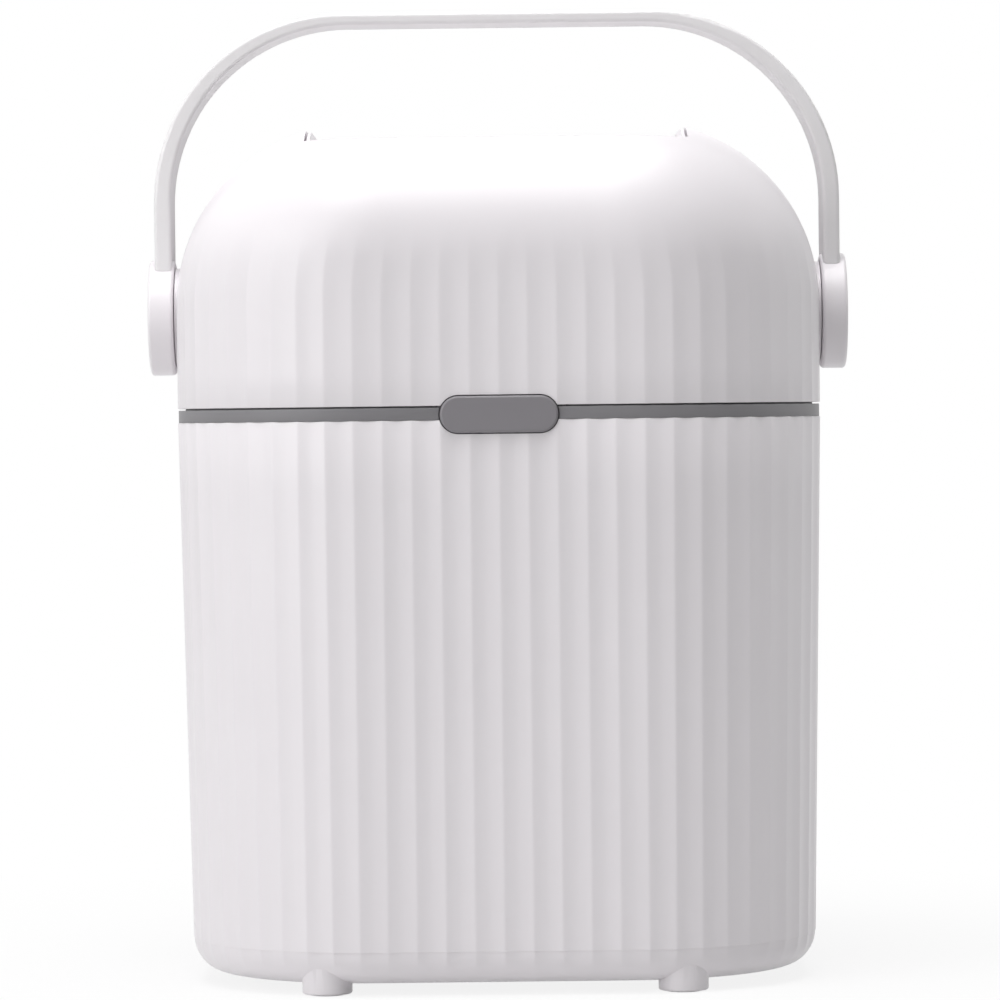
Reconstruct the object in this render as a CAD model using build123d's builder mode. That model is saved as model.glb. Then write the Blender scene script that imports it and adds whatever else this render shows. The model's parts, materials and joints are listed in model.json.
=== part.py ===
from build123d import *
from math import cos, pi, radians, sin, sqrt
import os

os.makedirs("parts", exist_ok=True)

# Diaper pail: fluted tub, gray rim band, inner bucket with bag ring, domed lid hinged at the back,
# push button latch at the front and a bail handle that pivots on the lid.
# Millimetres. The front faces -Y, up is +Z, and the origin is on the floor under the middle.
# An inset is a distance inwards from the outer plan, which runs through the crests of the flutes.

# Outer plan
body_width = 237.0
body_depth = 200.0
corner_radius = 73.0
flute_count = 72
tub_flute_depth = 0.38
lid_flute_depth = 0.3
flute_ease = 0.05

# Heights, each from the one below
foot_height = 4.0
tub_height = 201.8
band_height = 4.5
lid_gap = 0.6
spring_height = 37.3
side_round = 67.0
front_round = 52.0

# Tub
tub_wall = 2.6
tub_floor = 3.0
tub_taper = 3.8
tub_bottom_round = 12.0
foot_diameter = 18.0
foot_root = 8.0
foot_side_inset = 54.5
foot_front_inset = 17.5
foot_edge = 0.8
pad_diameter = 13.0
pad_recess = 1.6
pad_proud = 0.4

# Rim band
band_inset = 0.3
plate_thickness = 2.5
skirt_depth = 10.0
skirt_thickness = 2.0
skirt_clearance = 0.4
riser_inset = 12.5
riser_thickness = 2.0
riser_height = 4.1
ledge_width = 4.0
ledge_thickness = 2.0
rib_clearance = 0.3
rib_thickness = 1.2
rib_height = 1.6

# Inner bucket and bag ring
bucket_clearance = 0.4
bucket_wall = 1.6
bucket_taper = 6.0
bucket_lift = 1.5
bucket_bottom_round = 10.0
flange_thickness = 1.8
ring_gap = 0.3
ring_thickness = 1.8
ring_width = 8.8
ring_skirt_wall = 1.6
ring_skirt_depth = 10.6
tab_width = 26.0
tab_reach = 9.0
tab_round = 4.0

# Button, with its travel and the fits round it
button_width = 42.2
button_height = 13.2
button_rise = 1.95
button_gap = 0.4
button_proud = 1.2
button_edge = 1.0
button_travel = 2.0
button_wall = 1.6
button_flange_lip = 1.9
button_flange_thickness = 1.5
button_nose_width = 8.0
button_nose_height = 1.4
wall_clearance = 0.3

# Latch housing, hook, pin and spring
housing_width = 68.0
housing_wall = 2.0
housing_drop = 18.0
housing_back_inset = 12.2
pivot_inset = 7.6
pivot_drop = 13.0
barrel_diameter = 5.0
latch_pin_diameter = 2.5
pin_clearance = 0.05
cheek_thickness = 3.0
cheek_gap = 0.3
arm_width = 10.0
arm_thickness = 2.0
arm_gap = 0.3
hook_reach = 2.1
hook_height = 2.7
hook_ramp = 1.6
catch_gap = 0.3
catch_rise = 1.0
catch_thickness = 2.0
catch_reach = 3.4
catch_width = 12.0
spring_wire = 0.7
spring_turns_width = 4.0
spring_clearance = 0.35

# Screws
screw_head_diameter = 5.5
screw_head_height = 1.8
screw_diameter = 2.6
screw_length = 12.0
boss_diameter = 7.0
boss_bore_clearance = 0.1
boss_clearance = 0.3

# Hinge
hinge_offset = 2.2
hinge_rise = 0.4
knuckle_diameter = 7.0
knuckle_width = 7.0
knuckle_gap = 0.35
hinge_pin_diameter = 3.2
hinge_x = 40.0
relief_clearance = 0.5
pin_head_diameter = 4.0
pin_head_height = 1.2

# Lid
lid_wall = 2.6
dome_steps = 9
corner_draw_share = 0.42
shoulder_width = 48.9
channel_depth = 7.6
tray_clearance = 0.3
tray_hole_clearance = 0.1
tray_end_gap = 0.75
tray_end_inset = 40.0
tray_floor = 2.0
tray_flange = 1.2
tray_drop = 1.0
tray_corner = 3.0
tray_sink = 0.3
tray_stud_diameter = 4.0
tray_stud_length = 5.4
tray_stud_side_inset = 24.6
tray_stud_end_inset = 20.0

# Lid liner, its seal and its screws
liner_clearance = 0.4
liner_rise = 3.4
liner_thickness = 2.0
seal_inset = 16.0
seal_width = 4.0
seal_gap = 0.3
seal_clearance = 0.1
seal_rib = 1.2
seal_rib_drop = 2.9
latch_window_width = 52.0
latch_window_inset = 14.0
liner_boss_height = 13.0
liner_boss_corner_inset = 48.5
liner_boss_front_inset = 17.0
liner_boss_side_inset = 11.0
liner_boss_rib = 2.4
liner_hole_clearance = 0.3

# Charcoal holder
cup_diameter = 80.0
cup_wall = 2.0
cup_height = 16.0
cap_diameter = 90.0
cap_thickness = 2.2
cap_gap = 0.3
cap_edge = 0.8
spigot_diameter = 76.0
spigot_wall = 2.0
spigot_height = 5.0
lug_count = 3
lug_height = 1.6
lug_reach = 1.5
lug_angle = 30.0
ledge_angle = 50.0
ledge_reach = 1.5
ledge_height = 1.6
cup_ledge_rise = 0.4
lug_gap = 0.4
vent_count = 12
vent_length = 13.0
vent_width = 3.2
vent_radius = 27.0
grip_length = 62.0
grip_width = 5.0
grip_height = 7.0
pack_clearance = 0.5
pack_height = 11.0
pack_edge = 1.5

# Handle hubs and their axles
pivot_rise = 34.2
hub_gap = 0.3
hub_diameter = 43.0
hub_thickness = 9.4
hub_outer_edge = 1.3
hub_inner_edge = 1.5
hub_web = 3.6
pocket_diameter = 26.0
neck_diameter = 37.0
neck_height = 1.7
neck_root = 6.0
axle_diameter = 12.0
axle_clearance = 0.05
axle_head_diameter = 22.0
axle_head_height = 2.5
axle_boss_diameter = 28.0
axle_boss_depth = 6.0
washer_diameter = 20.0
washer_thickness = 1.0
washer_gap = 0.3
hub_screw_head_diameter = 7.0
hub_screw_head_height = 1.6
hub_screw_diameter = 4.0
hub_screw_length = 12.0
hub_cap_thickness = 1.4
hub_cap_clearance = 0.15
hub_cap_sink = 0.3
hub_cap_edge = 0.4

# Handle strap
strap_width = 26.0
strap_arm_thickness = 6.3
strap_bar_thickness = 4.2
strap_outer_inset = 2.35
strap_rise = 112.2
strap_outer_radius = 69.9
strap_edge = 1.4
strap_seat = 0.1
tongue_width = 18.0
tongue_thickness = 4.2
tongue_depth = 6.6
tongue_clearance = 0.1
strap_screw_head_diameter = 4.4
strap_screw_head_height = 1.1
strap_screw_diameter = 2.0
strap_screw_length = 4.6
strap_screw_spacing = 9.0
strap_screw_depth = 4.8
strap_screw_clearance = 0.1

# One overrun for all cuts
over = 5.0

# Levels and faces worked out from the sizes above
half_width = body_width / 2
half_depth = body_depth / 2
tub_bottom = foot_height
rim_z = tub_bottom + tub_height
band_top = rim_z + band_height
lid_base = band_top + lid_gap
spring_z = lid_base + spring_height
crown_z = spring_z + side_round
channel_z = crown_z - channel_depth
plate_z = band_top - plate_thickness
ledge_bottom = plate_z - riser_height
ledge_top = ledge_bottom + ledge_thickness
band_inner_inset = riser_inset + riser_thickness
ledge_inner_inset = band_inner_inset + ledge_width
front_y = -half_depth


def plan_point(travel, inset):
    """The point at a distance round the outer plan from the middle of the front, moved inwards."""
    flat_x = half_width - corner_radius
    flat_y = half_depth - corner_radius
    quarter = flat_x + flat_y + corner_radius * pi / 2
    turn = int(travel // (2 * quarter))
    rest = travel - turn * 2 * quarter
    mirrored = rest > quarter
    if mirrored:
        rest = 2 * quarter - rest
    if rest < flat_x:
        x, y = rest, -half_depth + inset
    elif rest < flat_x + corner_radius * pi / 2:
        angle = (rest - flat_x) / corner_radius
        x = flat_x + (corner_radius - inset) * sin(angle)
        y = -flat_y - (corner_radius - inset) * cos(angle)
    else:
        x, y = half_width - inset, rest - quarter
    if mirrored:
        y = -y
    return (-x, -y) if turn % 2 else (x, y)


def flute_outline(inset, depth):
    """Closed ring of hollow arcs that meet in crests, for the line builder that is open."""
    flat = 4 * (half_width + half_depth - 2 * corner_radius)
    pitch = (flat + 2 * pi * corner_radius) / flute_count
    crests = [plan_point(i * pitch, inset) for i in range(flute_count)]
    for i, crest in enumerate(crests):
        hollow = plan_point((i + 0.5) * pitch, inset + depth)
        ThreePointArc(crest, hollow, crests[(i + 1) % flute_count])


def plan_sketch(inset, z):
    """Rounded rectangle of the outer plan at a height, moved inwards."""
    with BuildSketch(Plane.XY.offset(z)) as sketch:
        RectangleRounded(body_width - 2 * inset, body_depth - 2 * inset, corner_radius - inset)
    return sketch.sketch


def prism(inset, low, high):
    """Upright block with the outer plan, moved inwards."""
    with BuildPart() as block:
        add(plan_sketch(inset, low))
        extrude(amount=high - low)
    return block.part


def ring(outer_inset, inner_inset, low, high):
    """Upright ring between two insets."""
    with BuildPart() as block:
        add(prism(outer_inset, low, high))
        add(prism(inner_inset, low - over, high + over), mode=Mode.SUBTRACT)
    return block.part


def tapered(low_inset, low, high_inset, high, bottom_round):
    """Block with slanting walls and a rounded bottom edge."""
    with BuildPart() as block:
        add(plan_sketch(low_inset, low))
        add(plan_sketch(high_inset, high))
        loft(ruled=True)
        fillet(block.faces().sort_by(Axis.Z)[0].edges(), radius=bottom_round)
    return block.part


def dome(inset, low):
    """Domed block: upright walls from low to the spring line, then a crown that rounds in."""
    side = side_round - inset
    front = front_round - inset
    crown = crown_z - inset
    front_start = crown - front
    with BuildPart() as block:
        add(plan_sketch(inset, low))
        extrude(amount=spring_z - low)
        for step in range(dome_steps + 1):
            angle = radians(90.0 * step / dome_steps)
            z = spring_z + side * sin(angle)
            side_in = side * (1 - cos(angle))
            lift = min(max((z - front_start) / front, 0), 1)
            front_in = front * (1 - sqrt(1 - lift * lift))
            radius = corner_radius - inset - corner_draw_share * (side_in + front_in)
            with BuildSketch(Plane.XY.offset(z)):
                RectangleRounded(
                    body_width - 2 * inset - 2 * side_in,
                    body_depth - 2 * inset - 2 * front_in,
                    radius,
                )
        loft()
    return block.part


def box(x_low, x_high, y_low, y_high, z_low, z_high):
    """Plain block between two corners."""
    with BuildPart() as block:
        with BuildSketch(Plane.XY.offset(z_low)):
            with Locations(((x_low + x_high) / 2, (y_low + y_high) / 2)):
                Rectangle(x_high - x_low, y_high - y_low)
        extrude(amount=z_high - z_low)
    return block.part


def rod_x(diameter, x_low, x_high, y, z):
    """Round bar along X."""
    with BuildPart() as block:
        with BuildSketch(Plane.YZ.offset(x_low)):
            with Locations((y, z)):
                Circle(diameter / 2)
        extrude(amount=x_high - x_low)
    return block.part


def rod_z(diameter, x, y, z_low, z_high):
    """Round bar along Z."""
    with BuildPart() as block:
        with BuildSketch(Plane.XY.offset(z_low)):
            with Locations((x, y)):
                Circle(diameter / 2)
        extrude(amount=z_high - z_low)
    return block.part


def flared(side, near, far):
    """Two distances from the middle plane as X values, on the left (-1) or the right (1) side."""
    return (near, far) if side > 0 else (-far, -near)


def side_rod(side, diameter, near, far, y, z):
    """Round bar along X on one side, between two distances from the middle plane."""
    return rod_x(diameter, *flared(side, near, far), y, z)


def side_box(side, near, far, y_low, y_high, z_low, z_high):
    """Plain block on one side, between two distances from the middle plane."""
    return box(*flared(side, near, far), y_low, y_high, z_low, z_high)


def screw_up(x, y, seat_z):
    """Screw driven upwards, with its head under the seat."""
    with BuildPart() as block:
        add(rod_z(screw_head_diameter, x, y, seat_z - screw_head_height, seat_z))
        add(rod_z(screw_diameter, x, y, seat_z, seat_z + screw_length))
    return block.part


def pill_y(width, height, z, y_low, y_high):
    """Bar along Y with a section that has fully round ends."""
    with BuildPart() as block:
        with BuildSketch(Plane.XZ.offset(-y_low)):
            with Locations((0, z)):
                SlotOverall(width, height)
        extrude(amount=y_low - y_high)
    return block.part


def finish(piece, name):
    """Names a finished piece and writes it."""
    piece.label = name
    export_step(piece, "parts/" + name + ".step")


# Button place: its opening runs through the tub wall, the band and the lid wall
button_z = rim_z + button_rise
opening_width = button_width + 2 * button_gap
opening_height = button_height + 2 * button_gap
button_opening = pill_y(opening_width, opening_height, button_z, front_y - over, front_y + riser_inset - over)

# Tub shell
tub_slope = tub_taper / tub_height
foot_x = half_width - foot_side_inset
foot_y = half_depth - foot_front_inset
foot_spots = [(sx * foot_x, sy * foot_y) for sy in (-1, 1) for sx in (-1, 1)]
tub_envelope = tapered(
    tub_taper - flute_ease,
    tub_bottom,
    -flute_ease - tub_slope * over,
    rim_z + over,
    tub_bottom_round,
)
tub_cavity = tapered(
    tub_taper - tub_slope * tub_floor + tub_wall,
    tub_bottom + tub_floor,
    tub_wall - tub_slope * over,
    rim_z + over,
    tub_bottom_round - tub_wall,
)
with BuildPart() as tub_shell:
    with BuildSketch(Plane.XY.offset(tub_bottom - over)):
        with BuildLine():
            flute_outline(tub_taper + tub_slope * over, tub_flute_depth)
        make_face()
    with BuildSketch(Plane.XY.offset(rim_z)):
        with BuildLine():
            flute_outline(0, tub_flute_depth)
        make_face()
    loft(ruled=True)
    add(tub_envelope, mode=Mode.INTERSECT)
    with BuildSketch(Plane.XY.offset(pad_proud)):
        with Locations(foot_spots):
            Circle(foot_diameter / 2)
    extrude(amount=tub_bottom + foot_root - pad_proud)
    fillet(tub_shell.faces().sort_by(Axis.Z)[0:4].edges(), radius=foot_edge)
    with BuildSketch(Plane.XY.offset(pad_proud + pad_recess)):
        with Locations(foot_spots):
            Circle(pad_diameter / 2 + wall_clearance / 2)
    extrude(amount=-pad_recess - over, mode=Mode.SUBTRACT)
    add(tub_cavity, mode=Mode.SUBTRACT)
    add(button_opening, mode=Mode.SUBTRACT)
finish(tub_shell.part, "tub_shell")

# Foot pads, one in the recess of each foot
pad_names = ["front_left", "front_right", "rear_left", "rear_right"]
for spot, place in zip(foot_spots, pad_names):
    with BuildPart() as foot_pad:
        with BuildSketch(Plane.XY):
            with Locations(spot):
                Circle(pad_diameter / 2)
        extrude(amount=pad_proud + pad_recess)
        fillet(foot_pad.faces().sort_by(Axis.Z)[0].edges(), radius=pad_proud / 2)
    finish(foot_pad.part, "foot_pad_" + place)

# Hinge line at the back, shared by the band, the lid and the pins
hinge_y = half_depth + hinge_offset
hinge_z = lid_base - hinge_rise
outer_half = knuckle_width * 1.5 + knuckle_gap
relief_diameter = knuckle_diameter + 2 * relief_clearance


def knuckle(x_middle, width, z_web_low, z_web_high, web_y):
    """Hinge barrel with a web that runs forwards into the wall."""
    low = x_middle - width / 2
    high = x_middle + width / 2
    with BuildPart() as block:
        add(rod_x(knuckle_diameter, low, high, hinge_y, hinge_z))
        add(box(low, high, web_y, hinge_y, z_web_low, z_web_high))
    return block.part


def knuckle_relief_bar(x_middle):
    """Round cut that lets the other half's barrel turn."""
    half = knuckle_width / 2 + knuckle_gap
    return rod_x(relief_diameter, x_middle - half, x_middle + half, hinge_y, hinge_z)


def hinge_bore(side):
    """Hole for the pin through all the barrels of one hinge."""
    reach = outer_half + over
    diameter = hinge_pin_diameter + 2 * pin_clearance
    return side_rod(side, diameter, hinge_x - reach, hinge_x + reach, hinge_y, hinge_z)


def knuckle_spots(side):
    """Middles of the two outer barrels of one hinge."""
    step = knuckle_width + knuckle_gap
    return (side * hinge_x - step, side * hinge_x + step)


# Rim band: lip and plate, skirt inside the tub, riser and ledge for the bucket, and a rib inside the lid
lid_rib_inset = lid_wall + rib_clearance
skirt_inset = tub_wall + skirt_clearance
notch_inset = skirt_inset + button_flange_thickness + button_travel + button_gap
arm_notch_inset = riser_inset - 2 * arm_gap
housing_half = housing_width / 2
housing_floor_z = button_z - housing_drop
screw_bore = screw_diameter + 2 * boss_bore_clearance
latch_boss_x = housing_half - housing_wall - boss_diameter / 2 - boss_clearance
latch_boss_y = front_y + housing_back_inset - housing_wall - boss_diameter / 2 - boss_clearance
with BuildPart() as rim_band:
    add(ring(band_inset, band_inner_inset, plate_z, band_top))
    add(ring(band_inset, skirt_inset + skirt_thickness, rim_z, plate_z))
    add(ring(skirt_inset, skirt_inset + skirt_thickness, rim_z - skirt_depth, plate_z))
    add(ring(riser_inset, band_inner_inset, ledge_bottom, plate_z))
    add(ring(riser_inset, ledge_inner_inset, ledge_bottom, ledge_top))
    add(ring(lid_rib_inset, lid_rib_inset + rib_thickness, plate_z, band_top + rib_height))
    add(
        box(
            -housing_half - boss_clearance,
            housing_half + boss_clearance,
            front_y + skirt_inset - wall_clearance,
            front_y + riser_inset,
            rim_z - skirt_depth - over,
            rim_z,
        ),
        mode=Mode.SUBTRACT,
    )
    add(
        box(
            -button_width / 2 - button_flange_lip - 2 * button_gap,
            button_width / 2 + button_flange_lip + 2 * button_gap,
            front_y + tub_wall,
            front_y + notch_inset,
            ledge_bottom,
            band_top + over,
        ),
        mode=Mode.SUBTRACT,
    )
    add(
        box(
            -arm_width / 2 - 2 * arm_gap,
            arm_width / 2 + 2 * arm_gap,
            front_y + tub_wall,
            front_y + arm_notch_inset,
            ledge_bottom,
            band_top + over,
        ),
        mode=Mode.SUBTRACT,
    )
    add(button_opening, mode=Mode.SUBTRACT)
    for side in (-1, 1):
        add(rod_z(boss_diameter, side * latch_boss_x, latch_boss_y, housing_floor_z + housing_wall, plate_z))
        for x in knuckle_spots(side):
            add(knuckle(x, knuckle_width, rim_z, band_top, half_depth - tub_wall))
        add(knuckle_relief_bar(side * hinge_x), mode=Mode.SUBTRACT)
        add(hinge_bore(side), mode=Mode.SUBTRACT)
        add(
            rod_z(
                screw_bore,
                side * latch_boss_x,
                latch_boss_y,
                housing_floor_z,
                housing_floor_z + screw_length + boss_clearance,
            ),
            mode=Mode.SUBTRACT,
        )
finish(rim_band.part, "rim_band")

# Hinge pins, each with a round head at its outer end
for side, place in ((-1, "left"), (1, "right")):
    with BuildPart() as hinge_pin:
        pin_end = hinge_x + outer_half
        add(side_rod(side, hinge_pin_diameter, hinge_x - outer_half, pin_end, hinge_y, hinge_z))
        add(side_rod(side, pin_head_diameter, pin_end, pin_end + pin_head_height, hinge_y, hinge_z))
    finish(hinge_pin.part, "hinge_pin_" + place)

# Inner bucket, hanging by its flange on the ledge of the band
bucket_inset = ledge_inner_inset + bucket_clearance
bucket_bottom = tub_bottom + tub_floor + bucket_lift
flange_outer_inset = band_inner_inset + bucket_clearance
bucket_outer = tapered(
    bucket_inset + bucket_taper,
    bucket_bottom,
    bucket_inset,
    ledge_top,
    bucket_bottom_round,
)
bucket_inner = tapered(
    bucket_inset + bucket_taper + bucket_wall,
    bucket_bottom + bucket_wall,
    bucket_inset + bucket_wall,
    ledge_top + flange_thickness + over,
    bucket_bottom_round - bucket_wall,
)
with BuildPart() as inner_bucket:
    add(bucket_outer)
    add(prism(flange_outer_inset, ledge_top, ledge_top + flange_thickness))
    add(bucket_inner, mode=Mode.SUBTRACT)
finish(inner_bucket.part, "inner_bucket")

# Bag ring, which lies on the flange and clamps the bag inside the bucket
ring_low = ledge_top + flange_thickness + ring_gap
ring_top = ring_low + ring_thickness
ring_outer_inset = flange_outer_inset + ring_gap
ring_inner_inset = ring_outer_inset + ring_width
ring_skirt_inset = bucket_inset + bucket_wall + bucket_clearance + ring_gap
with BuildPart() as bag_ring:
    add(ring(ring_outer_inset, ring_inner_inset, ring_low, ring_top))
    add(ring(ring_skirt_inset, ring_skirt_inset + ring_skirt_wall, ring_low - ring_skirt_depth, ring_low))
    for side in (-1, 1):
        with BuildSketch(Plane.XY.offset(ring_low)):
            with Locations((side * (half_width - ring_inner_inset), 0)):
                RectangleRounded(2 * tab_reach, tab_width, tab_round)
        extrude(amount=ring_thickness)
finish(bag_ring.part, "bag_ring")

# Latch: the button pushes the arm of the hook back about the latch pin
pivot_z = button_z - pivot_drop
pivot_y = front_y + pivot_inset
arm_front_y = pivot_y - arm_thickness / 2
arm_back_y = pivot_y + arm_thickness / 2
flange_y = front_y + tub_wall + wall_clearance
flange_half = button_width / 2 + button_flange_lip
flange_height = button_height + 2 * button_flange_lip
catch_z = button_z + flange_height / 2 + catch_rise
catch_top = catch_z + catch_thickness
hook_low = catch_top + catch_gap
housing_top = ledge_bottom - wall_clearance

# Button: domed pill, flange behind the wall and a nose that meets the arm
with BuildPart() as latch_button:
    add(pill_y(button_width, button_height, button_z, front_y - button_proud, flange_y))
    fillet(latch_button.faces().sort_by(Axis.Y)[0].edges(), radius=button_edge)
    add(
        pill_y(
            2 * flange_half,
            flange_height,
            button_z,
            flange_y,
            flange_y + button_flange_thickness,
        )
    )
    add(
        pill_y(
            button_width - 2 * button_wall,
            button_height - 2 * button_wall,
            button_z,
            front_y - button_proud + button_wall,
            flange_y + button_flange_thickness + over,
        ),
        mode=Mode.SUBTRACT,
    )
    add(
        box(
            -button_nose_width / 2,
            button_nose_width / 2,
            front_y - button_proud + button_wall / 2,
            arm_front_y - arm_gap,
            button_z - button_nose_height / 2,
            button_z + button_nose_height / 2,
        )
    )
finish(latch_button.part, "latch_button")

# Hook: barrel on the pin, arm, and a nose that reaches over the catch of the lid
with BuildPart() as latch_hook:
    add(rod_x(barrel_diameter, -arm_width / 2, arm_width / 2, pivot_y, pivot_z))
    add(box(-arm_width / 2, arm_width / 2, arm_front_y, arm_back_y, pivot_z, hook_low + hook_height))
    with BuildSketch(Plane.YZ.offset(-arm_width / 2)):
        with BuildLine():
            Polyline(
                (arm_front_y, hook_low),
                (arm_front_y - hook_reach, hook_low),
                (arm_front_y - hook_reach, hook_low + hook_height - hook_ramp),
                (arm_front_y, hook_low + hook_height),
                close=True,
            )
        make_face()
    extrude(amount=arm_width)
    add(
        rod_x(latch_pin_diameter + 2 * pin_clearance, -arm_width, arm_width, pivot_y, pivot_z),
        mode=Mode.SUBTRACT,
    )
finish(latch_hook.part, "latch_hook")

# Housing: open box behind the tub wall, with two cheeks that carry the pin
housing_front = front_y + tub_wall + wall_clearance
housing_back = front_y + housing_back_inset
cheek_x = arm_width / 2 + cheek_gap + spring_turns_width + 2 * spring_clearance
pin_reach = cheek_x + cheek_thickness
with BuildPart() as latch_housing:
    add(box(-housing_half, housing_half, housing_front, housing_back, housing_floor_z, housing_top))
    add(
        box(
            -housing_half + housing_wall,
            housing_half - housing_wall,
            housing_front - over,
            housing_back - housing_wall + arm_gap,
            housing_floor_z + housing_wall,
            housing_top + over,
        ),
        mode=Mode.SUBTRACT,
    )
    for side in (-1, 1):
        add(
            side_box(
                side,
                cheek_x,
                cheek_x + cheek_thickness,
                pivot_y - barrel_diameter / 2,
                housing_back,
                housing_floor_z,
                pivot_z + barrel_diameter / 2,
            )
        )
        add(
            rod_z(
                screw_bore,
                side * latch_boss_x,
                latch_boss_y,
                housing_floor_z - over,
                housing_floor_z + housing_wall + over,
            ),
            mode=Mode.SUBTRACT,
        )
    add(rod_x(latch_pin_diameter, -pin_reach, pin_reach, pivot_y, pivot_z), mode=Mode.SUBTRACT)
finish(latch_housing.part, "latch_housing")

with BuildPart() as latch_pin:
    add(rod_x(latch_pin_diameter, -pin_reach, pin_reach, pivot_y, pivot_z))
finish(latch_pin.part, "latch_pin")

# Torsion spring round the pin, beside the barrel of the hook
spring_bore = latch_pin_diameter + 2 * spring_clearance
spring_x = arm_width / 2 + spring_clearance
with BuildPart() as latch_spring:
    add(rod_x(spring_bore + 2 * spring_wire, spring_x, spring_x + spring_turns_width, pivot_y, pivot_z))
    spring_end = spring_x + spring_turns_width
    add(rod_x(spring_bore, spring_x - over, spring_end + over, pivot_y, pivot_z), mode=Mode.SUBTRACT)
finish(latch_spring.part, "latch_spring")

with BuildPart() as latch_screws:
    for side in (-1, 1):
        add(screw_up(side * latch_boss_x, latch_boss_y, housing_floor_z))
finish(latch_screws.part, "latch_screws")

# Lid shell
channel_half_width = half_width - shoulder_width
tray_half_depth = half_depth - tray_end_inset
liner_z = lid_base + liner_rise
liner_top = liner_z + liner_thickness
pivot_height = lid_base + pivot_rise
tray_pocket_z = channel_z - tray_floor - tray_sink
liner_boss_x = half_width - liner_boss_corner_inset
liner_boss_y = half_depth - liner_boss_front_inset
liner_boss_side_x = half_width - liner_boss_side_inset
liner_bosses = [(sx * liner_boss_x, sy * liner_boss_y) for sy in (-1, 1) for sx in (-1, 1)]
liner_bosses += [(-liner_boss_side_x, 0), (liner_boss_side_x, 0)]
tray_stud_x = channel_half_width - tray_stud_side_inset
tray_stud_y = tray_half_depth - tray_stud_end_inset
tray_studs = [(sx * tray_stud_x, sy * tray_stud_y) for sy in (-1, 1) for sx in (-1, 1)]
stud_hole = tray_stud_diameter + 2 * tray_hole_clearance
neck_x = half_width + neck_height
lid_outer = dome(0, lid_base - over)

with BuildPart() as lid_hollow:
    add(dome(lid_wall, lid_base - over))
    add(
        box(
            -channel_half_width - lid_wall,
            channel_half_width + lid_wall,
            -body_depth,
            body_depth,
            tray_pocket_z - lid_wall,
            crown_z + over,
        ),
        mode=Mode.SUBTRACT,
    )

boss_face_x = half_width - lid_wall - axle_boss_depth
boss_top = liner_top + liner_boss_height
boss_bore_top = liner_z + screw_length + boss_clearance
axle_bore = axle_diameter + 2 * axle_clearance
rib_half = liner_boss_rib / 2
wall_middle = lid_wall / 2
with BuildPart() as lid_shell:
    with BuildSketch(Plane.XY.offset(lid_base)):
        with BuildLine():
            flute_outline(flute_ease, lid_flute_depth)
        make_face()
    extrude(amount=crown_z + over - lid_base)
    add(lid_outer, mode=Mode.INTERSECT)
    add(
        box(-channel_half_width, channel_half_width, -body_depth, body_depth, channel_z, crown_z + over),
        mode=Mode.SUBTRACT,
    )
    add(
        box(
            -channel_half_width,
            channel_half_width,
            -tray_half_depth,
            tray_half_depth,
            tray_pocket_z,
            crown_z + over,
        ),
        mode=Mode.SUBTRACT,
    )
    for side in (-1, 1):
        add(side_rod(side, neck_diameter, half_width - neck_root, neck_x, 0, pivot_height))
    add(lid_hollow.part, mode=Mode.SUBTRACT)

    # Bosses for the axles, barrels of the hinge and ribs of the side bosses
    for side in (-1, 1):
        add(side_rod(side, axle_boss_diameter, boss_face_x, half_width - wall_middle, 0, pivot_height))
        add(side_rod(side, axle_bore, boss_face_x - over, neck_x + over, 0, pivot_height), mode=Mode.SUBTRACT)
        barrel_top = hinge_z + knuckle_diameter / 2
        add(knuckle(side * hinge_x, knuckle_width, lid_base, barrel_top, half_depth - lid_wall))
        for x in knuckle_spots(side):
            add(knuckle_relief_bar(x), mode=Mode.SUBTRACT)
        add(hinge_bore(side), mode=Mode.SUBTRACT)
        add(
            side_box(
                side,
                liner_boss_side_x,
                half_width - wall_middle,
                -rib_half,
                rib_half,
                liner_top,
                boss_top,
            )
        )

    # Bosses for the screws of the liner, joined to the wall by ribs
    for x, y in liner_bosses:
        add(rod_z(boss_diameter, x, y, liner_top, boss_top))
    corner_x = half_width - corner_radius
    corner_y = half_depth - corner_radius
    corner_drop = sqrt(corner_radius**2 - (liner_boss_x - corner_x) ** 2)
    rib_end = corner_y + corner_drop - wall_middle
    for x, y in liner_bosses[0:4]:
        low, high = flared(y, abs(y), rib_end)
        add(box(x - rib_half, x + rib_half, low, high, liner_top, boss_top))
    for x, y in liner_bosses:
        add(rod_z(screw_bore, x, y, liner_top - over, boss_bore_top), mode=Mode.SUBTRACT)

    # Catch for the hook, holes for the studs of the tray, and room for the button
    add(
        box(
            -catch_width / 2,
            catch_width / 2,
            front_y + wall_middle,
            front_y + lid_wall + catch_reach,
            catch_z,
            catch_top,
        )
    )
    for x, y in tray_studs:
        add(rod_z(stud_hole, x, y, tray_pocket_z - lid_wall - over, tray_pocket_z), mode=Mode.SUBTRACT)
    add(button_opening, mode=Mode.SUBTRACT)
finish(lid_shell.part, "lid_shell")

# Tray set into the channel over the lid, with an upright flange at each end
tray_half_width = channel_half_width - tray_end_gap
tray_y = tray_half_depth - tray_clearance
tray_limit = dome(tray_drop, lid_base)
with BuildPart() as lid_tray:
    with BuildSketch(Plane.XY.offset(tray_pocket_z)):
        RectangleRounded(2 * tray_half_width, 2 * tray_y, tray_corner)
    extrude(amount=crown_z - tray_pocket_z)
    add(
        box(
            -tray_half_width + tray_flange,
            tray_half_width - tray_flange,
            -tray_y - over,
            tray_y + over,
            tray_pocket_z + tray_floor,
            crown_z + over,
        ),
        mode=Mode.SUBTRACT,
    )
    add(tray_limit, mode=Mode.INTERSECT)
    for x, y in tray_studs:
        add(rod_z(tray_stud_diameter, x, y, tray_pocket_z - tray_stud_length, tray_pocket_z))
finish(lid_tray.part, "lid_tray")

# Liner that closes the lid from below, with a channel for the seal and a cup for the charcoal


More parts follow.
